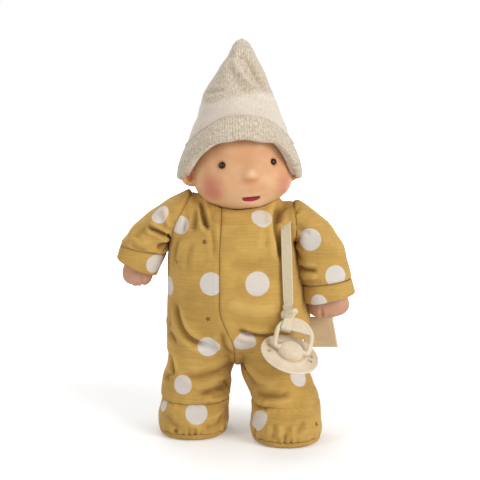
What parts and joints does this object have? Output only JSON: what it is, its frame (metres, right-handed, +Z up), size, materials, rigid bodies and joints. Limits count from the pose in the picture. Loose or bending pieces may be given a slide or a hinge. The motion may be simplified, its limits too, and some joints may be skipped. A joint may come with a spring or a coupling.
{
  "type": "doll",
  "caption": "Soft standing doll with a vinyl head and hands, a footed romper, a pull-off knit hat and a pacifier on a ribbon.",
  "frame": {"origin": "centre of the base of the box round the doll, on the floor under the soles", "axes": "+Z up to the hat's tip, the doll faces -Y, its own right side is -X"},
  "size_m": [0.1798, 0.1154, 0.3],
  "materials": {
    "linen": "matte slub linen weave, mustard",
    "binding": "matte cotton tape, mustard",
    "vinyl": "soft skin-toned vinyl, satin",
    "bead": "polished black",
    "knit": "matte heather knit, oatmeal",
    "stuffing": "matte polyester filling in a cotton cover",
    "thread": "matte twisted thread",
    "ribbon": "matte cotton ribbon, cream",
    "plastic": "satin moulded plastic, cream",
    "label": "matte woven tape, beige",
    "tape": "matte touch fastener tape"
  },
  "bodies": {
    "torso": {"torso_stuffed": "stuffing", "suit_front_right": "linen", "suit_front_left": "linen", "suit_back_right": "linen", "suit_back_left": "linen", "closure_loop_tape": "tape", "closure_hook_tape": "tape", "side_label": "label"},
    "neck": {"neck_stuffed": "stuffing", "neck_tie": "thread"},
    "head": {"head_shell": "vinyl", "eye_right": "bead", "eye_left": "bead"},
    "hat": {"hat_crown": "knit", "hat_brim": "knit"},
    "shoulder_right": {"armhole_tape_right": "binding"},
    "arm_right": {"sleeve_right": "linen", "cuff_right": "linen", "arm_stuffed_right": "stuffing", "wrist_tie_right": "thread"},
    "hand_right": {"hand_right": "vinyl"},
    "leg_right": {"leg_stuffed_right": "stuffing", "trouser_leg_right": "linen", "foot_upper_right": "linen", "sole_right": "linen"},
    "shoulder_left": {"armhole_tape_left": "binding"},
    "arm_left": {"sleeve_left": "linen", "cuff_left": "linen", "arm_stuffed_left": "stuffing", "wrist_tie_left": "thread"},
    "hand_left": {"hand_left": "vinyl"},
    "leg_left": {"leg_stuffed_left": "stuffing", "trouser_leg_left": "linen", "foot_upper_left": "linen", "sole_left": "linen"},
    "strap": {"ribbon": "ribbon"},
    "ring": {"ribbon_knot": "ribbon", "pacifier_ring": "plastic"},
    "pacifier": {"pacifier_shield": "plastic", "pacifier_button": "plastic", "pacifier_nub": "plastic"}
  },
  "joints": [
    {"name": "head_nod", "type": "hinge", "parent": "torso", "child": "neck", "pos_m": [0.00674, 0.01104, 0.178], "axis": [1, 0, 0], "range_deg": [-5, 5]},
    {"name": "head_turn", "type": "hinge", "parent": "neck", "child": "head", "pos_m": [0.00674, 0.01104, 0.178], "axis": [-0.0663, 0, 0.9978], "range_deg": [-60, 60]},
    {"name": "hat_lift", "type": "slide", "parent": "head", "child": "hat", "axis": [-0.0663, 0, 0.9978], "range_m": [0, 0.1]},
    {"name": "arm_swing_right", "type": "hinge", "parent": "torso", "child": "shoulder_right", "pos_m": [-0.04077, 0.01104, 0.16798], "axis": [-0.8957, 0, 0.4446], "range_deg": [-60, 100]},
    {"name": "arm_raise_right", "type": "hinge", "parent": "shoulder_right", "child": "arm_right", "pos_m": [-0.03376, 0.01104, 0.18705], "axis": [0, 1, 0], "range_deg": [0, 40]},
    {"name": "hand_turn_right", "type": "hinge", "parent": "arm_right", "child": "hand_right", "pos_m": [-0.07257, 0.01104, 0.13648], "axis": [-0.1392, 0, -0.9903], "range_deg": [-30, 30]},
    {"name": "arm_swing_left", "type": "hinge", "parent": "torso", "child": "shoulder_left", "pos_m": [0.04451, 0.00805, 0.16399], "axis": [-0.9962, 0, -0.0872], "range_deg": [-60, 100]},
    {"name": "arm_raise_left", "type": "hinge", "parent": "shoulder_left", "child": "arm_left", "pos_m": [0.04535, 0.00805, 0.17962], "axis": [0, -1, 0], "range_deg": [0, 40]},
    {"name": "hand_turn_left", "type": "hinge", "parent": "arm_left", "child": "hand_left", "pos_m": [0.07011, 0.00154, 0.11199], "axis": [0.0349, 0, -0.9994], "range_deg": [-30, 30]},
    {"name": "hip_bend_right", "type": "hinge", "parent": "torso", "child": "leg_right", "pos_m": [-0.02656, 0.01104, 0.054], "axis": [-1, 0, 0], "range_deg": [-15, 52]},
    {"name": "hip_bend_left", "type": "hinge", "parent": "torso", "child": "leg_left", "pos_m": [0.02914, 0.01104, 0.054], "axis": [-1, 0, 0], "range_deg": [0, 45]},
    {"name": "strap_swing", "type": "hinge", "parent": "torso", "child": "strap", "pos_m": [0.03734, -0.00925, 0.16798], "axis": [-1, 0, 0], "range_deg": [0, 32]},
    {"name": "ring_swing", "type": "hinge", "parent": "strap", "child": "ring", "pos_m": [0.03944, -0.02245, 0.10214], "axis": [-1, 0, 0], "range_deg": [0, 40]},
    {"name": "shield_fold", "type": "hinge", "parent": "ring", "child": "pacifier", "pos_m": [0.04092, -0.03886, 0.07591], "axis": [0.9617, 0, -0.274], "range_deg": [0, 20]}
  ],
  "couplings": [
    {"joint": "strap_swing", "follows": "hip_bend_left", "ratio": 0.67}
  ]
}
